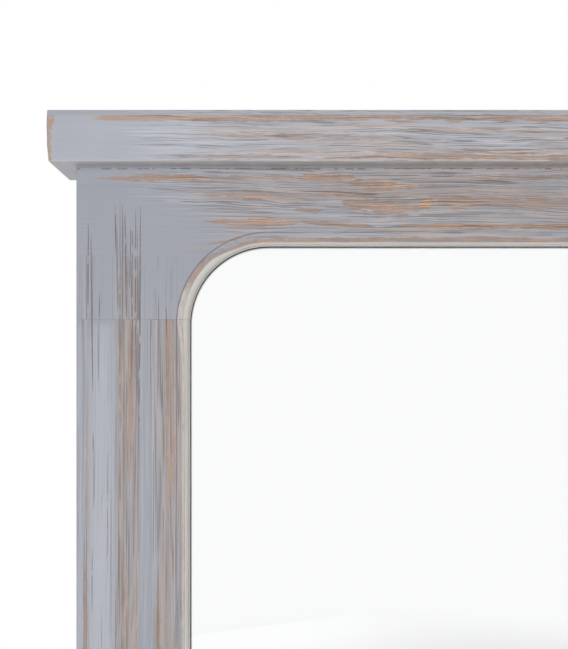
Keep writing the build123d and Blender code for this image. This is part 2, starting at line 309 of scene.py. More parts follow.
def worn_patch_group():
    """A lens-shaped patch along the grain, soft at its rim, with the rim broken up by the grain."""
    names = ("Along", "Across", "Start", "End", "From", "To", "Half Width", "Ragged", "Strength")
    graph, inside, mask = new_group("Worn_patch", dict.fromkeys(names, "Float"), "Mask")
    ends = {"Value": inside["Along"], "From Min": inside["Start"], "From Max": inside["End"]}
    way = graph.result("ShaderNodeMapRange", ends)
    centre = way * (inside["To"] - inside["From"]) + inside["From"]
    hump = way * (1 - way) * 4
    width = (graph.math("POWER", hump, 0.7) * inside["Half Width"]).most(0.001)
    off = abs(inside["Across"] - centre) / width
    soft = (off + inside["Ragged"]).rise(1.45, 0.15)
    graph.feed(mask, soft * inside["Strength"])


def lip_distance_group():
    """How far a point lies outside the opening's lip, in millimetres, seen from the front."""
    graph, inside, distance = new_group("Lip_distance", {"Across": "Float", "Up": "Float"}, "Distance")
    side = abs(inside["Across"]) - (LIP_HALF - CORNER_RADIUS)
    above = inside["Up"] - (LIP_TOP - CORNER_RADIUS)
    out_side = side.most(0)
    out_above = above.most(0)
    round_part = graph.math("SQRT", out_side * out_side + out_above * out_above)
    flat_part = side.most(above).least(0)
    upper = round_part + flat_part - CORNER_RADIUS
    graph.feed(distance, upper.most(LIP_FOOT - inside["Up"]))


def new_material(name, **values):
    """A material with one Principled shader and that shader's values, its graph and the shader's sockets."""
    material = bpy.data.materials.new(name)
    material.use_nodes = True
    graph = Graph(material.node_tree)
    sockets = material.node_tree.nodes["Principled BSDF"].inputs
    for label, value in values.items():
        sockets[label.replace("_", " ")].default_value = value
    return material, graph, sockets


def object_place(graph):
    """Object coordinates in millimetres: the vector, and its x, y and z."""
    coordinates = graph.result("ShaderNodeTexCoord", {}, "Object")
    place = graph.vector("MULTIPLY", coordinates, (MM, MM, MM))
    parts = graph.add("ShaderNodeSeparateXYZ")
    graph.feed(parts.inputs[0], place)
    return place, *[Value(graph, part) for part in parts.outputs]


def bump(graph, sockets, height, distance):
    """Raises the surface by a height between 0 and 1, times a distance in metres."""
    inputs = {"Strength": 1, "Distance": distance, "Height": height}
    graph.feed(sockets["Normal"], graph.result("ShaderNodeBump", inputs))


def shape_curve(mapping, points):
    """Sets a float curve's points."""
    curve = mapping.curves[0]
    while len(curve.points) < len(points):
        curve.points.new(0.5, 0.5)
    for point, (share, value) in zip(curve.points, points):
        point.location = (share, value)
    mapping.update()


def ramp(value, stops):
    """A colour that follows a value through the stops' colours."""
    node = value.graph.add("ShaderNodeValToRGB")
    elements = node.color_ramp.elements
    while len(elements) < len(stops):
        elements.new(0.5)
    for element, (position, colour) in zip(elements, stops):
        element.position = position
        element.color = colour
    return value.graph.result(node, {0: value})


# Patches worn by hand, in millimetres along the left half: where each starts and ends along the grain,
# the middle of its width at both ends, half its width, and how far the paint is gone
CROWN_WEAR = (
    (-440, -262, 785.5, 781, 5, 0.3),
    (-478, -330, 790.5, 789, 2.2, 0.22),
    (-400, -150, 775.5, 773, 2.2, 0.24),
    (-300, -20, 788.5, 783, 4, 0.3),
    (-480, -350, 769.2, 768.8, 2.2, 0.42),
    (-370, -20, 769.2, 768.8, 3.4, 0.6),
    (-200, -20, 778, 779, 3, 0.28),
    (-530, -506, 791.2, 791, 0.8, 0.4),
    (-535, -470, 786, 785.4, 1.1, 0.34),
)
HEADER_WEAR = (
    (-526, -436, 757.7, 757.2, 3.2, 0.8),
    (-478, -330, 758.2, 758.4, 1.8, 0.42),
    (-372, -324, 758.6, 758.2, 3, 0.7),
    (-330, -284, 754.2, 751.6, 4.4, 0.58),
    (-296, -276, 751.6, 751.4, 2, 0.62),
    (-270, -20, 758.8, 758.2, 2.1, 0.42),
    (-356, -308, 745.4, 745, 2.8, 0.44),
    (-336, -272, 738.6, 733.6, 7, 0.46),
    (-277, -262, 738, 738.4, 3.8, 0.86),
    (-262, -226, 739.4, 738.8, 4.8, 0.58),
    (-236, -140, 740, 737, 5.4, 0.42),
    (-372, -350, 733, 732.6, 2.2, 0.46),
    (-450, -340, 744.5, 743, 4.6, 0.3),
    (-442, -368, 724.2, 723.2, 3.2, 0.66),
    (-374, -308, 724, 720, 1.7, 0.56),
    (-296, -196, 720.4, 720.2, 2.3, 0.62),
    (-232, 0, 720.3, 719.8, 2.4, 0.66),
    (-150, -20, 744, 746, 6, 0.44),
    (-360, -120, 750, 739, 13, 0.19),
    (-446, -404, 704.6, 713.6, 1.3, 0.44),
    (-458, -436, 701.8, 703.4, 0.8, 0.4),
)
RAIL_WEAR = (
    (-420, -250, -118, -112, 7, 0.42),
    (-330, -120, -100, -104, 4, 0.46),
    (-200, -20, -130, -133, 6, 0.4),
    (-440, -330, -145, -142, 3, 0.5),
)
STILE_WEAR = (
    (450, 600, -532.8, -531.8, 1.5, 0.46),
    (290, 480, -534.6, -533, 1.8, 0.52),
    (-150, 260, -534.2, -534.8, 2.2, 0.44),
    (560, 650, -506.6, -506.2, 1.4, 0.3),
    (520, 650, -500, -499.5, 2.8, 0.26),
    (500, 662, -468, -468.4, 4.6, 0.2),
    (300, 450, -478, -477.6, 2.6, 0.34),
    (400, 470, -504, -503.6, 2.6, 0.24),
    (-140, 120, -500, -497.6, 5, 0.24),
)
# Open cracks that run up the corners and the stiles: the same six numbers
UPRIGHT_CRACKS = (
    (700, 737, -510.4, -510.8, 0.5, 0.9),
    (655, 722, -508.9, -509.6, 0.45, 0.8),
    (640, 738, -505.4, -505, 0.5, 0.9),
    (650, 731, -502, -503.2, 0.7, 0.9),
    (600, 735, -495.4, -494.8, 0.5, 1),
    (560, 737, -492.2, -491.2, 0.55, 1),
    (672, 724, -499.6, -498.6, 0.5, 0.7),
    (650, 728, -502.6, -503.4, 2.6, 0.2),
    (560, 716, -497, -496.4, 2.2, 0.16),
    (560, 700, -506.6, -506.9, 1.6, 0.18),
    (560, 740, -507.2, -507, 0.35, 0.8),
    (600, 728, -498, -497.4, 0.4, 0.9),
    (575, 720, -493.8, -493.6, 0.35, 0.8),
    (545, 560, -528, -527.8, 0.4, 0.8),
    (500, 548, -527.4, -527.2, 0.35, 0.7),
    (450, 545, -516.8, -516.4, 0.32, 0.7),
    (420, 470, -528.8, -528.6, 0.4, 0.7),
    (400, 520, -514.2, -514, 0.3, 0.6),
    (300, 430, -521.6, -521.2, 0.3, 0.5),
    (650, 723, -532, -531.6, 0.6, 0.9),
    (590, 716, -528.2, -529.6, 0.6, 1),
    (648, 668, -523.2, -522.9, 0.4, 0.9),
    (600, 646, -523.8, -523.4, 0.35, 0.7),
    (580, 668, -477.6, -477, 0.4, 0.8),
    (630, 665, -470.4, -471.6, 0.4, 0.8),
)
# How worn a stile is from its outer side to the lip, as shares of its width and of the wear
STILE_PROFILE = (
    (0, 0.1), (0.06, 0.1), (0.075, 0.4), (0.09, 0.4), (0.11, 0), (0.31, 0.02), (0.36, 0.45),
    (0.395, 0.75), (0.43, 0.45), (0.47, 0.95), (0.53, 0.85), (0.575, 0.3), (0.63, 0.12), (0.67, 0.3),
    (0.72, 0.65), (0.8, 0.95), (0.87, 0.9), (0.91, 0.6), (0.95, 0.4), (1, 0.3),
)
# The grain, in millimetres: how long a line is, how far it drifts along a board and how far it wavers
LEVEL_GRAIN = {"line": 150, "drift": 7, "waver": 1.7}
UPRIGHT_GRAIN = {"line": 260, "drift": 2.6, "waver": 0.5}
# How steeply the level boards' grain climbs, and how far apart the noise of two boards is read
LEVEL_CLIMB = 0.012
BOARDS_APART = 57
# Half the height over which one board's look gives way to the next one's
SEAM = 0.05
# Noises that follow the grain: length as a share of a line, width in millimetres, seed, detail, roughness
GRAIN_NOISES = {
    "lines": (1, 0.62, 1.3, 1, 0.5),
    "fine": (0.3, 0.55, 6.3, 2, 0.6),
    "bands": (0.9, 6, 5.9, 3, 0.6),
    "breaks": (0.2, 3, 2.4, 2, 0.5),
    "seams": (1.4, 3.2, 4.6, 1, 0.5),
    "hair": (0.7, 0.6, 21, 1, 0.5),
}
# Noises that only lie along the board: length and width in millimetres, seed, detail, roughness
PLAIN_NOISES = {
    "fleck": (8, 1.3, 8.8, 3, 0.6),
    "speckle": (5, 1.4, 6.1, 3, 0.6),
    "edge": (22, 2.4, 12, 4, 0.62),
    "dash": (9, 60, 14, 3, 0.5),
}
# The most wear that the grain brings without a patch, and the wear over which the top coat goes
GRAIN_WEAR = 0.5
THIN_FROM = 0.05
THIN_TO = 0.38
# The wear at which each colour shows
WEAR_STOPS = ((0.34, "undercoat"), (0.56, "brown_wood"), (0.78, "tan_wood"), (1, "orange_wood"))


def patches(rows, along, across, ragged):
    """The strongest of a list of worn patches at each point."""
    tree = bpy.data.node_groups["Worn_patch"]
    keys = ("Start", "End", "From", "To", "Half_Width", "Strength")
    masks = []
    for row in rows:
        sizes = {key: float(value) for key, value in zip(keys, row)}
        masks.append(along.graph.group(tree, Along=along, Across=across, Ragged=ragged, **sizes))
    return functools.reduce(Value.most, masks)


class PaintedWood:
    """Blue-grey paint on level or upright boards, worn along the grain, on arrises and on the moulding."""

    def __init__(self, name, settings, level):
        self.material, self.graph, self.sockets = new_material(name, Specular_IOR_Level=0.5)
        self.settings = settings
        self.level = level
        self.noises = {}
        self.lay_out()
        self.wear_grain()
        self.wear_edges()
        self.lay_paint()
        self.raise_grain()
        self.open_cracks()
        self.lay_moulding()
        self.lay_joints()
        self.bare_back()
        self.feed_shader()

    def noise(self, name):
        """A named noise, which is made when it is first asked for."""
        if name not in self.noises:
            if name in GRAIN_NOISES:
                length, width, seed, detail, roughness = GRAIN_NOISES[name]
                place = self.graph.stretch(self.grain, self.line * length, width, seed)
            else:
                length, width, seed, detail, roughness = PLAIN_NOISES[name]
                place = self.graph.stretch(self.raw, length, width, seed)
            self.noises[name] = self.graph.noise(place, detail, roughness)
        return self.noises[name]

    def swing(self, name, size, offset):
        """A named noise about its middle, times the size, plus the offset."""
        return (self.noise(name) - 0.5) * size + offset

    def tint(self, name):
        return linear(getattr(self.settings, name))

    def lay(self, mask, name):
        """Lays one of the settings' colours over what is there."""
        self.colour = mask.mix(self.colour, self.tint(name))

    def lay_out(self):
        """Where a point lies on its board, and the coordinates that wander with the grain."""
        graph = self.graph
        self.place, self.x, self.y, self.z = object_place(graph)
        self.side = abs(self.x)
        self.left = self.side * -1
        self.turned = self.x.rise(-1, 1)
        self.from_end = HEADER_HIGH.x - self.side
        self.small = graph.cloud(self.place, (0.05, 0.05, 0.05), 5, 0.65)
        along, across = (self.x, self.z) if self.level else (self.z, self.x)
        self.raw = graph.combine(along, across, self.y)
        sizes = LEVEL_GRAIN if self.level else UPRIGHT_GRAIN
        self.line = sizes["line"]
        slow = graph.noise(graph.stretch(self.raw, self.line * 1.4, 70, 3.1), 1)
        quick = graph.noise(graph.stretch(self.raw, self.line * 0.25, 9, 7.7), 1)
        wander = slow * (sizes["drift"] * 2) + quick * (sizes["waver"] * 2)
        if self.level:
            wander = self.x * LEVEL_CLIMB + wander
        # 1 on the crown or on a corner block, 0 on the header, the bottom rail or a stile
        seam = HEADER_HIGH.z if self.level else BLOCK_LOW.z
        self.board = self.z.rise(seam - SEAM, seam + SEAM)
        depth = self.board * BOARDS_APART + self.y
        self.grain = graph.combine(along, across + wander, depth)

    def wear_grain(self):
        """How worn the paint is, from 0, whole, to 1, fresh wood."""
        ragged = self.noise("lines") * 2.6 + self.noise("bands") * 3.4 - 6.2
        ragged = self.noise("fine") * 2.4 + self.noise("fleck") * 4 + ragged
        worn, start = self.wear_level(ragged) if self.level else self.wear_upright(ragged)
        spread = self.swing("lines", 1.5, self.noise("bands") * 0.9 - 0.36)
        self.spread = self.swing("fine", 1, spread)
        wear = (self.spread * self.busy + start).least(GRAIN_WEAR)
        self.wear = wear + worn

    def wear_level(self, ragged):
        """The level boards' patches, the wear that the grain starts from, and how busy the grain is."""
        calm = self.z.rise(HEADER_LOW.z + 44, HEADER_LOW.z + 30)
        end = self.from_end + self.noise("bands") * 60 - 30
        self.busy = end.rise(calm * 60 + 20, calm * 60 + 110)
        flip = self.turned * (self.z * -2 + (HEADER_LOW.z + HEADER_HIGH.z))
        height = flip * (1 - self.board) + self.z
        along = self.turned * self.left * -0.06 + self.left
        worn = patches(CROWN_WEAR + HEADER_WEAR + RAIL_WEAR, along, height, ragged)
        corner = self.from_end.rise(130, 40) * -0.22
        return worn, corner + self.board * -0.08 + 0.06

    def wear_upright(self, ragged):
        """The same for the stiles and corner blocks, which are worn in stripes."""
        graph = self.graph
        share = self.from_end / (STILE_HIGH.x - STILE_LOW.x)
        share = self.turned * 0.045 + share
        self.share = self.noise("bands") * 0.04 + share - 0.02
        profile = graph.add("ShaderNodeFloatCurve")
        shape_curve(profile.mapping, STILE_PROFILE)
        strong = graph.result(profile, {"Value": self.share})
        inner_block = self.board * self.from_end.rise(52, 58)
        self.busy = (
            self.z.rise(BLOCK_HIGH.z + 20, BLOCK_LOW.z + 25)
            * strong.rise(-0.1, 0.5)
            * (inner_block * -0.95 + 1)
        )
        worn = patches(STILE_WEAR, self.z, self.left, ragged)
        start = strong * self.busy * 0.32 - 0.08
        return worn, self.board * -0.05 + start

    def wear_edges(self):
        """Rubs the crown's edges, and the arrises that the mirror stands on."""
        if self.level:
            foot = self.z.rise(RAIL_LOW.z + 3.5, RAIL_LOW.z + 1.5)
            edges = self.crown_edges().most(foot * 0.55)
            rubbed = self.noise("speckle") * 0.9 + self.spread * 0.25 + 0.06
            self.wear = (rubbed - self.wear) * edges + self.wear
        else:
            foot = self.z.rise(STILE_LOW.z + 4, STILE_LOW.z + 1)
            self.wear = foot * 0.5 + self.wear
        self.wear = self.wear * self.settings.wear

    def crown_edges(self):
        """1 along the crown's front arris, below its bevel, and on its two tips."""
        below = CROWN_HIGH.z - CROWN_BEVEL - self.z
        reach = self.noise("edge") * 12 - 2
        arris = (
            below.rise(-0.3, 0.4)
            * below.rise(reach + 1.4, reach)
            * self.y.rise(CROWN_LOW.y + 5, CROWN_LOW.y + 3)
            * self.from_end.rise(-6, 30)
        )
        reach = self.noise("edge") * 8 - 0.2
        reach = self.z.rise(CROWN_HIGH.z - 17, CROWN_HIGH.z - 4) * 3.2 + reach
        tip = (
            (CROWN_HIGH.x - self.side).rise(reach + 1.2, reach)
            * below.rise(-0.4, 0.4)
            * self.y.rise(CROWN_LOW.y + 11, CROWN_LOW.y + 5)
            * self.board
        )
        return arris.most(tip)

    def lay_paint(self):
        """The top coat, deep or pale, with the crown painted paler as painted light, and what shows where it
        is thin.
        """
        if self.level:
            # Painted light: the crown's extra pale share makes it lighter than the header; the busy share is
            # thinly brushed paint
            pale = self.busy * 0.5 + self.board * 0.28
        else:
            pale = self.share.between(0.13, 0.33, 0.06) * 0.66
            pale = pale.most(self.share.rise(0.09, 0.03) * 0.4)
            pale = pale * self.z.rise(BLOCK_LOW.z, BLOCK_LOW.z - 8)
        mottle = self.graph.cloud(self.place, (0.012, 0.02, 0.012), 3)
        pale = (mottle * 0.9 + (pale - 0.45)).rise(-0.1, 1.1)
        paint = pale.mix(self.tint("paint_deep"), self.tint("paint_pale"))
        wood = ramp(self.wear, [(stop, self.tint(name)) for stop, name in WEAR_STOPS])
        self.colour = self.wear.rise(THIN_FROM, THIN_TO).mix(paint, wood)

    def raise_grain(self):
        """Makes the raised grain lighter on its ridges and darker between them, and paints the crown, and the
        header's top just under it, lighter as painted light.
        """
        if self.level:
            contrast = self.busy * 1.35 + 0.12
            # Painted light: the header just under the crown is lightened against the crown's shadow, and the
            # crown is lightened overall
            painted_light_under_crown = self.z.rise(HEADER_HIGH.z - 14, HEADER_HIGH.z - 2) * 1.3
            painted_light_lift = self.board.most(painted_light_under_crown) * 0.12 + 1
        else:
            contrast = self.busy * 0.9 + self.board * -0.1 + 0.12
            painted_light_lift = 1
        shade = self.swing("fine", contrast, self.swing("lines", contrast, painted_light_lift))
        inputs = {0: self.colour, "Scale": shade}
        self.colour = self.graph.result("ShaderNodeVectorMath", inputs, operation="SCALE")

    def open_cracks(self):
        """Open grain, seams in it, and the cracks that run up the corner blocks and stiles."""
        graph = self.graph
        breaks = self.noise("breaks")
        hair = self.noise("hair").rise(0.4, 0.32)
        self.lay(hair * self.busy * breaks.rise(0.38, 0.46) * 0.85, "crack")
        seam = abs(self.noise("seams") - 0.5).rise(0.022, 0.008)
        busy = self.busy if self.level else self.busy.most(0.4)
        seam = seam * breaks.rise(0.44, 0.54) * busy
        rim = self.noise("speckle") * 1.2 - 0.6
        cracks = patches(UPRIGHT_CRACKS, self.z, self.left, rim)
        broken = graph.noise(graph.stretch(graph.combine(self.z, self.x, self.y), 14, 5, 3.3), 3)
        cracks = cracks * broken.rise(0.34, 0.45) * 1.3
        cracks = cracks.least(1)
        if self.level:
            front = self.y.rise(HEADER_LOW.y + 13, HEADER_LOW.y + 7)
            cracks = cracks * front * (1 - self.board)
        self.cracked = (seam * 0.7).most(cracks)
        self.lay(self.cracked * 0.75, "crack")

    def lay_moulding(self):
        """The moulding round the opening: a rubbed strip, a painted highlight along the lip, painted light on
        the pale inner wall, and dark grooves.
        """
        lip = self.graph.group(bpy.data.node_groups["Lip_distance"], Across=self.x, Up=self.z)
        on_header = self.z.rise(LIP_TOP - 14, LIP_TOP - 1)
        above_stile = self.z.rise(BLOCK_LOW.z - 20, BLOCK_LOW.z + 10)
        arc_foot = LIP_TOP - CORNER_RADIUS
        arc_end = LIP_HALF - CORNER_RADIUS
        arc = self.z.rise(arc_foot - 34, arc_foot + 4) * self.side.rise(arc_end - 4, arc_end + 8)
        on_arc = arc * (1 - on_header)

        inner = on_header * -1.4 + (on_arc * 1.3 + 3.2)
        width = above_stile * 1.2 + (on_arc * 1.2 + 1.6)
        outer = inner + width
        uneven = (self.small - 0.5) * (above_stile * 4.5 + 1.5) + lip
        strip = (
            uneven.rise(inner, inner + 0.7)
            * uneven.rise(outer + 1, outer)
            * (self.noise("fleck").rise(0.38, 0.52) * 0.4 + 0.5)
        )
        wood = self.small.rise(0.42, 0.58).mix(self.tint("brown_wood"), self.tint("tan_wood"))
        height = self.small * 70 + self.z - 35
        browned = height.rise(LIP_TOP - 46, LIP_TOP - 26)
        self.colour = strip.mix(self.colour, browned.mix(self.tint("bare_lip"), wood))

        # Painted highlight along the lip's edge
        lip_highlight_mask = lip.rise(inner + 0.5, inner - 0.5)
        self.lay(lip_highlight_mask * 0.9, "painted_highlight")
        # Painted light: the inner wall behind the lip, painted near white in place of its shade
        inner_wall = lip.rise(0.6, 0.3)
        deep = self.y.rise(HEADER_LOW.y + 4.7, HEADER_LOW.y + 5.1)
        self.lay(inner_wall * deep, "painted_wall_light")
        groove = lip.between(MOULDING_WIDTH - 0.6, MOULDING_WIDTH + 0.2, 0.35)
        self.lay(groove * (arc * 0.7 + 0.15) * 0.7, "crack")
        arris = self.y.between(HEADER_LOW.y + 4.7, HEADER_LOW.y + 5.5, 0.25)
        self.lay(arris * inner_wall * arc * 0.55, "crack")

    def lay_joints(self):
        """Dark marks along the joints, and the crown's underside: painted paler as painted light, with a band
        behind it of brown bared wood darkened by painted shade.
        """
        if self.level:
            # Painted light: the crown's underside is painted paler, as though lit from below
            under = self.z.rise(CROWN_LOW.z + 1.2, CROWN_LOW.z + 0.2) * self.board
            self.lay(under * 0.45, "painted_highlight")
            # The band behind, next to the header: brown bared wood, darkened to 0.8 as painted shade under
            # the crown's overhang
            behind = self.y.between(CROWN_LOW.y + 7.5, CROWN_LOW.y + 12, 2)
            brown_and_shade = under * behind * self.from_end.rise(-1, 2) * 0.75
            self.colour = brown_and_shade.mix(self.colour, linear([c * 0.8 for c in self.settings.brown_wood]))
            joint = self.z.between(HEADER_HIGH.z - 1, HEADER_HIGH.z - 0.2, 0.3)
            dashes = self.noise("dash").rise(0.5, 0.56)
        else:
            joint = self.z.between(BLOCK_LOW.z - 0.3, BLOCK_LOW.z + 0.3, 0.3)
            dashes = self.noise("lines").rise(0.5, 0.6) * 0.6 + 0.05
        self.lay(joint * dashes * 0.8, "crack")

    def bare_back(self):
        """The unpainted back, with paint slopped round its outer edges."""
        graph = self.graph
        normal = graph.result("ShaderNodeTexCoord", {}, "Normal")
        backward = graph.result("ShaderNodeSeparateXYZ", {0: normal}, "Y")
        inward = self.from_end
        if self.level:
            inward = self.board * (CROWN_HIGH.x - HEADER_HIGH.x) + HEADER_HIGH.x - self.side
        inward = inward.least(self.z - RAIL_LOW.z)
        inward = inward.least(CROWN_HIGH.z - self.z)
        slop = self.small * 34 - 8
        unpainted = inward.rise(slop, slop + 1.5)
        self.bare = backward.rise(0.4, 0.6) * unpainted
        dark = self.tint("raw_dark")
        rings = self.noise("bands").rise(0.38, 0.62).mix(self.tint("raw_wood"), dark)
        rings = self.noise("lines").rise(0.56, 0.7).mix(rings, dark)
        self.colour = self.bare.mix(self.colour, rings)

    def feed_shader(self):
        """Gives the shader its colour, roughness and relief."""
        graph = self.graph
        graph.feed(self.sockets["Base Color"], self.colour)
        matt = self.wear.rise(0.1, 0.5).most(self.bare)
        graph.feed(self.sockets["Roughness"], matt * 0.2 + 0.36)
        relief = self.noise("lines") * self.busy + self.cracked * -0.8
        bump(graph, self.sockets, relief, self.settings.grain_height)


def metal(name, colour, roughness, scratches, thread=0):
    """Plated or turned metal, with fine scratches and a thread's ridges where it has one."""
    material, graph, sockets = new_material(name, Metallic=1)
    place, _, y, _ = object_place(graph)
    cloudy = graph.cloud(place, (0.35, 0.35, 0.35), 4)
    scratch = graph.cloud(place, (9, 9, 1.2), 3)
    dull = cloudy.rise(0.35, 0.7).mix(linear(colour), linear([c * 0.86 for c in colour]))
    graph.feed(sockets["Base Color"], dull)
    graph.feed(sockets["Roughness"], scratch * scratches + (roughness - scratches / 2))
    height = scratch * 0.2
    if thread:
        height = height + graph.math("PINGPONG", y, thread / 2)
    bump(graph, sockets, height, 0.0002)
    return material


def planed_pine(name, settings):
    """Bare pine whose grain runs along each stick: level near the opening's top and foot, else upright."""
    material, graph, sockets = new_material(name, Roughness=0.6)
    place, _, _, z = object_place(graph)
    level = graph.math("GREATER_THAN", abs(z - OPENING_MIDDLE), LEVEL_FROM)
    upright_grain = graph.vector("MULTIPLY", place, (0.6, 0.3, 0.012))
    level_grain = graph.vector("MULTIPLY", place, (0.012, 0.3, 0.6))
    ways = {0: level, 4: upright_grain, 5: level_grain}
    growth = graph.noise(graph.result("ShaderNodeMix", ways, 1, data_type="VECTOR"), 4, 0.6)
    colour = growth.rise(0.4, 0.62).mix(linear(settings.raw_wood), linear(settings.raw_dark))
    graph.feed(sockets["Base Color"], colour)
    bump(graph, sockets, growth, 0.0002)
    return material


def hardboard(name, settings):
    """Pressed brown fibreboard, faintly clouded, with a few rubs."""
    material, graph, sockets = new_material(name)
    place = object_place(graph)[0]
    cloud = graph.cloud(place, (0.008, 0.008, 0.008), 5, 0.6)
    fibre = graph.cloud(place, (1.3, 1.3, 1.3), 3, 0.7)
    rub = graph.cloud(place, (0.05, 0.4, 0.9), 3)
    colour = cloud.rise(0.3, 0.7).mix(linear(settings.board_dark), linear(settings.board))
    flecks = fibre.rise(0.5, 0.75) * 0.45
    colour = flecks.mix(colour, linear(settings.board_fleck))
    rubs = rub.rise(0.68, 0.76) * 0.25
    colour = rubs.mix(colour, linear(settings.board_fleck))
    graph.feed(sockets["Base Color"], colour)
    graph.feed(sockets["Roughness"], fibre * 0.3 + 0.38)
    bump(graph, sockets, fibre, 0.0001)
    return material


def foam(name):
    """Closed-cell foam tape."""
    material, graph, sockets = new_material(name, Roughness=0.9)
    place = object_place(graph)[0]
    inputs = {"Vector": graph.vector("MULTIPLY", place, (2.2, 2.2, 2.2)), "Scale": 1}
    cells = graph.result("ShaderNodeTexVoronoi", inputs, "Distance")
    colour = cells.mix(linear(screen(196, 196, 190)), linear(screen(226, 226, 220)))
    graph.feed(sockets["Base Color"], colour)
    bump(graph, sockets, cells, 0.0003)
    return material


def give(node, material):
    """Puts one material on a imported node."""
    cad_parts[node].material_slots[0].material = material


def new_object(name, data):
    """An object at the origin, linked into the scene."""
    made = bpy.data.objects.new(name, data)
    bpy.context.scene.collection.objects.link(made)
    return made


def sheet(name, points, material):
    """A four-cornered face of one material."""
    mesh = bpy.data.meshes.new(name)
    mesh.from_pydata(points, [], [(0, 1, 2, 3)])
    mesh.materials.append(material)
    return new_object(name, mesh)


def area_light(name, place, target, size, power):
    """A soft square light that a camera, a reflection or a refraction doesn't see."""
    data = bpy.data.lights.new(name, "AREA")
    data.shape = "SQUARE"
    data.size = size
    data.energy = power
    light = new_object(name, data)
    light.location = place
    light.rotation_euler = (Vector(target) - Vector(place)).to_track_quat("-Z", "Y").to_euler()
    light.visible_camera = False
    light.visible_glossy = False
    light.visible_transmission = False


def seen_directly(graph):
    """1 for what the camera, a reflection or a refraction sees, 0 for what lights the object."""
    rays = graph.add("ShaderNodeLightPath")
    kinds = ("Camera", "Glossy", "Transmission")
    return functools.reduce(Value.most, [graph.result(rays, {}, f"Is {kind} Ray") for kind in kinds])


def floor_material(settings):
    """A pale matt floor that fades to plain white away from the mirror."""
    material, graph, _ = new_material("studio_floor", Base_Color=linear(settings.floor), Roughness=0.8)
    _, x, y, _ = object_place(graph)
    away = graph.math("SQRT", x * x + y * y)
    start = settings.floor_fade * MM
    faded = away.rise(start, start * 2) * seen_directly(graph)
    nodes = material.node_tree.nodes
    matt = graph.result(nodes["Principled BSDF"], {})
    glow = graph.result("ShaderNodeEmission", {})
    both = graph.result("ShaderNodeMixShader", {0: faded, 1: matt, 2: glow})
    graph.feed(nodes["Material Output"].inputs[0], both)
    return material


def studio_world(settings):
    """A world that looks white and lights the mirror evenly with the studio's strength."""
    world = bpy.data.worlds.new("studio")
    world.use_nodes = True
    graph = Graph(world.node_tree)
    background = world.node_tree.nodes["Background"]
    background.inputs["Color"].default_value = (1, 1, 1, 1)
    strength = seen_directly(graph) * (1 - settings.sky) + settings.sky
    graph.feed(background.inputs["Strength"], strength)
    return world


class MIRROR_OT_stage(bpy.types.Operator):
    """Makes the pale floor, the soft studio light and the camera"""

    bl_idname = "mirror.stage"
    bl_label = "Stage"

    def execute(self, context):
        settings = context.scene.mirror_stage
        foot = RAIL_LOW.z / MM
        signs = ((-1, -1), (1, -1), (1, 1), (-1, 1))
        points = [(FLOOR_HALF * x, FLOOR_HALF * y, foot) for x, y in signs]
        floor = sheet("studio_floor", points, floor_material(settings))
        context.scene.world = studio_world(settings)
        for name, place, target, size, power in LIGHTS:
            area_light(name, place, target, size, getattr(settings, power))

        data = bpy.data.cameras.new("camera")
        camera = new_object("camera", data)
        camera.location = CAMERA_PLACE
        camera.rotation_euler = (math.pi / 2, 0, 0)
        data.lens = CAMERA_LENS
        data.shift_y = CAMERA_SHIFT
        context.scene.camera = camera
        context.scene.view_settings.view_transform = "Standard"
        return {"FINISHED"}


LEVEL_BOARDS = ("crown_board", "header_rail", "bottom_rail")
UPRIGHT_BOARDS = ("corner_block_left", "corner_block_right", "stile_left", "stile_right")


class MIRROR_OT_painted_boards(bpy.types.Operator):
    """Paints and wears the crown, header, corner blocks, stiles and bottom rail"""

    bl_idname = "mirror.painted_boards"
    bl_label = "Painted boards"

    def execute(self, context):
        settings = context.scene.mirror_paint
        worn_patch_group()
        lip_distance_group()
        level = PaintedWood("painted_wood_level", settings, level=True).material
        upright = PaintedWood("painted_wood_upright", settings, level=False).material
        for node in LEVEL_BOARDS:
            give(node, level)
        for node in UPRIGHT_BOARDS:
            give(node, upright)
        return {"FINISHED"}


class MIRROR_OT_glass(bpy.types.Operator):
    """Makes the clear glass and the silvering on its back"""

    bl_idname = "mirror.glass"
    bl_label = "Glass"

    def execute(self, context):
        glass, _, _ = new_material(
            "clear_glass", Base_Color=(0.99, 0.993, 0.99, 1), Roughness=0, IOR=1.5, Transmission_Weight=1
        )
        give("mirror_glass", glass)
        silver, _, _ = new_material(
            "silvering", Base_Color=(0.96, 0.965, 0.965, 1), Metallic=1, Roughness=0
        )
        low = (GLASS_LOW + Vector((SILVER_INSET, 0, SILVER_INSET))) / MM
        high = (GLASS_HIGH - Vector((SILVER_INSET, SILVER_DEPTH, SILVER_INSET))) / MM
        sides = ((low.x, low.z), (high.x, low.z), (high.x, high.z), (low.x, high.z))
        piece = sheet("mirror_silvering", [(x, high.y, z) for x, z in sides], silver)
        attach(piece, MAIN_BODY)
        return {"FINISHED"}


class MIRROR_OT_back(bpy.types.Operator):
    """Finishes the battens, tenons, cushions and back panel"""

    bl_idname = "mirror.back"
    bl_label = "Back"

    def execute(self, context):
        settings = context.scene.mirror_back
        pine = planed_pine("planed_pine", settings)
        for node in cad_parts:
            if node.startswith("glazing_batten") or node.endswith("_tenons"):
                give(node, pine)
        give("back_panel", hardboard("pressed_board", settings))
        give("glass_cushions", foam("foam_tape"))
        return {"FINISHED"}


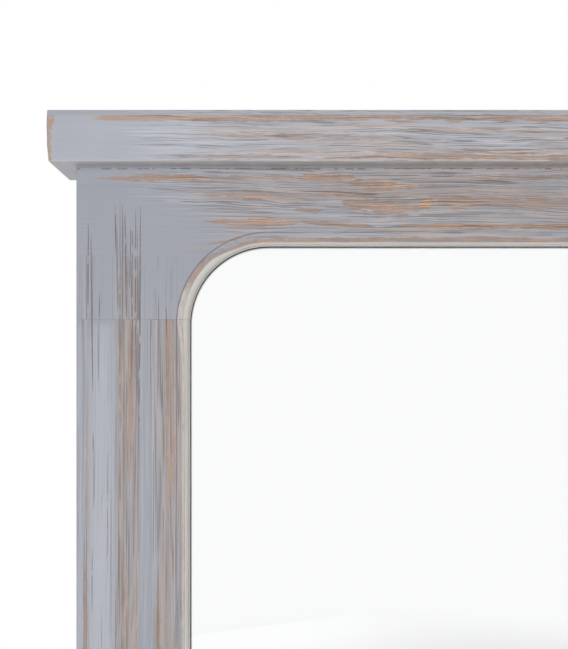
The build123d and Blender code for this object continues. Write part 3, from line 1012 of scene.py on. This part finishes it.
class MIRROR_OT_hangers(bpy.types.Operator):
    """Finishes the strap hangers, their rings, the inserts and the crown's hidden screws"""

    bl_idname = "mirror.hangers"
    bl_label = "Hangers and inserts"

    def execute(self, context):
        settings = context.scene.mirror_back
        nickel = metal("nickel_plate", settings.nickel, roughness=0.24, scratches=0.12)
        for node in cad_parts:
            if node.startswith(("hanger_strap", "hanger_ring")):
                give(node, nickel)
        brass = metal("turned_brass", settings.brass, roughness=0.3, scratches=0.1, thread=INSERT_THREAD)
        give("support_inserts", brass)
        give("crown_screws", metal("zinc_plate", settings.zinc, roughness=0.36, scratches=0.14))
        return {"FINISHED"}


def solids(node):
    """The low and high corner of each separate solid of a node whose solids stand well apart, in metres."""
    found = []
    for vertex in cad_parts[node].data.vertices:
        place = vertex.co
        for low, high in found:
            middle = (low + high) / 2
            if max(abs(place.x - middle.x), abs(place.z - middle.z)) < SCREW_SPREAD:
                low[:] = [min(a, b) for a, b in zip(low, place)]
                high[:] = [max(a, b) for a, b in zip(high, place)]
                break
        else:
            found.append((place.copy(), place.copy()))
    return found


def finished_mesh(name, work):
    """The mesh that the work in hand gives."""
    mesh = bpy.data.meshes.new(name)
    work.to_mesh(mesh)
    work.free()
    return mesh


def turned_outline(name, outline):
    """A closed mesh turned about Z from an outline of radius and height that starts and ends on the axis."""
    work = bmesh.new()
    edge = [work.verts.new((radius, 0, height)) for radius, height in outline]
    for first, second in zip(edge, edge[1:]):
        work.edges.new((first, second))
    bmesh.ops.spin(
        work, geom=work.verts[:] + work.edges[:], cent=(0, 0, 0), axis=(0, 0, 1), angle=math.tau,
        steps=SCREW_SEGMENTS, use_duplicate=False,
    )
    bmesh.ops.remove_doubles(work, verts=work.verts[:], dist=1e-7)
    bmesh.ops.recalc_face_normals(work, faces=work.faces[:])
    return finished_mesh(name, work)


def cross_mesh(span, depth):
    """Two crossed arms that narrow downwards, to cut a screw's recess with."""
    work = bmesh.new()
    for crossing in (False, True):
        for vert in bmesh.ops.create_cube(work, size=1)["verts"]:
            deep = vert.co.z < 0
            reach, narrow = (span * share for share in (RECESS_BOTTOM if deep else RECESS_MOUTH))
            across = (narrow, reach) if crossing else (reach, narrow)
            level = -depth if deep else depth * 0.5
            vert.co = (vert.co.x * 2 * across[0], vert.co.y * 2 * across[1], level)
    return finished_mesh("cross_recess", work)


def screw_template(name, head, shank, head_height, length, countersunk, settings):
    """One screw along Z, its head's top at 0, with a cross recess and a fine thread."""
    shares = COUNTERSUNK_HEAD if countersunk else PAN_HEAD
    outline = [(radius * head, height * head_height) for radius, height in shares]
    outline.append((shank, -head_height if countersunk else -head_height * 1.001))
    for turn in range(int((length - head_height * THREAD_SPARE) / THREAD_PITCH)):
        height = -head_height * THREAD_START - turn * THREAD_PITCH
        outline += [(shank * THREAD_ROOT, height), (shank, height - THREAD_PITCH / 2)]
    outline += [(shank * SCREW_TIP, -length), (0, -length)]
    body = new_object(name, turned_outline(name, outline))
    cutter = new_object("cross_recess", cross_mesh(head * settings.recess_span, settings.recess_depth))
    cut = body.modifiers.new("recess", "BOOLEAN")
    cut.operation = "DIFFERENCE"
    cut.solver = "EXACT"
    cut.use_self = True
    cut.object = cutter
    return body, cutter


def place_screws_tree():
    """A node tree that sets one screw on each point, turned at random about its own axis."""
    inputs = {"Points": "Geometry", "Screw": "Object", "Finish": "Material", "Seed": "Int"}
    graph, inside, screws = new_group("Place_screws", inputs, "Screws", "Geometry", "Geometry")
    shape = graph.result("GeometryNodeObjectInfo", {"Object": inside["Screw"]}, "Geometry")
    chance = {3: math.tau, "Seed": inside["Seed"]}
    spin = graph.result("FunctionNodeRandomValue", chance, 1, data_type="FLOAT")
    turn = {"Rotation": graph.combine(0, 0, spin), "Rotate By": (-math.pi / 2, 0, 0)}
    lean = graph.result("FunctionNodeRotateEuler", turn, rotation_type="EULER", space="OBJECT")
    copies = {"Points": inside["Points"], "Instance": shape, "Rotation": lean}
    placed = graph.result("GeometryNodeInstanceOnPoints", copies)
    solid = graph.result("GeometryNodeRealizeInstances", {0: placed})
    finish = {"Geometry": solid, "Material": inside["Finish"]}
    graph.feed(screws, graph.result("GeometryNodeSetMaterial", finish))
    return graph.tree


class MIRROR_OT_screws(bpy.types.Operator):
    """Sets cross-headed screws in place of the plain ones that show on the back"""

    bl_idname = "mirror.screws"
    bl_label = "Screws"

    def execute(self, context):
        settings = context.scene.mirror_back
        tree = place_screws_tree()
        zinc = metal("zinc_screws", settings.zinc, roughness=0.36, scratches=0.14)
        for node, (countersunk, shank_share, head_height) in SCREW_KINDS.items():
            places = solids(node)
            low, high = places[0]
            head = (high.x - low.x) / 2
            sizes = (head, head * shank_share, head_height / MM, high.y - low.y)
            body, cutter = screw_template(f"{node}_shape", *sizes, countersunk, settings)
            points = [((a.x + b.x) / 2, b.y, (a.z + b.z) / 2) for a, b in places]
            mesh = bpy.data.meshes.new(f"{node}_points")
            mesh.from_pydata(points, [], [])
            holder = new_object(f"{node}_points", mesh)
            modifier = holder.modifiers.new("screws", "NODES")
            modifier.node_group = tree
            values = {"Screw": body, "Finish": zinc, "Seed": SCREW_SEED}
            for item in tree.interface.items_tree:
                if item.name in values:
                    modifier[item.identifier] = values[item.name]
            context.view_layer.update()
            evaluated = holder.evaluated_get(context.evaluated_depsgraph_get())
            made = bpy.data.meshes.new_from_object(evaluated)
            made.name = f"{node}_turned"
            piece = new_object(f"{node}_turned", made)
            for spare in (holder, body, cutter):
                bpy.data.objects.remove(spare)
            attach(piece, MAIN_BODY)
            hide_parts(node)
        return {"FINISHED"}


class MIRROR_PT_sidebar(bpy.types.Panel):
    """Lists the mirror's settings and the pieces that can be made"""

    bl_idname = "MIRROR_PT_sidebar"
    bl_label = "Dressing Mirror"
    bl_space_type = "VIEW_3D"
    bl_region_type = "UI"
    bl_category = "Mirror"

    def draw(self, context):
        layout = self.layout
        for settings in (getattr(context.scene, name) for name in SETTINGS):
            for name in settings.__annotations__:
                layout.prop(settings, name)
        for operator in OPERATORS:
            layout.operator(operator.bl_idname)


SETTINGS = {
    "mirror_paint": MirrorPaintSettings,
    "mirror_back": MirrorBackSettings,
    "mirror_stage": MirrorStageSettings,
}
OPERATORS = (
    MIRROR_OT_stage,
    MIRROR_OT_painted_boards,
    MIRROR_OT_glass,
    MIRROR_OT_back,
    MIRROR_OT_hangers,
    MIRROR_OT_screws,
)
CLASSES = (*SETTINGS.values(), *OPERATORS, MIRROR_PT_sidebar)


def register():
    for cls in CLASSES:
        bpy.utils.register_class(cls)
    for name, cls in SETTINGS.items():
        setattr(bpy.types.Scene, name, PointerProperty(type=cls))


def unregister():
    for name in SETTINGS:
        delattr(bpy.types.Scene, name)
    for cls in reversed(CLASSES):
        bpy.utils.unregister_class(cls)


def main():
    register()
    for operator in OPERATORS:
        group, name = operator.bl_idname.split(".")
        getattr(getattr(bpy.ops, group), name)()


if __name__ == "__main__":
    main()
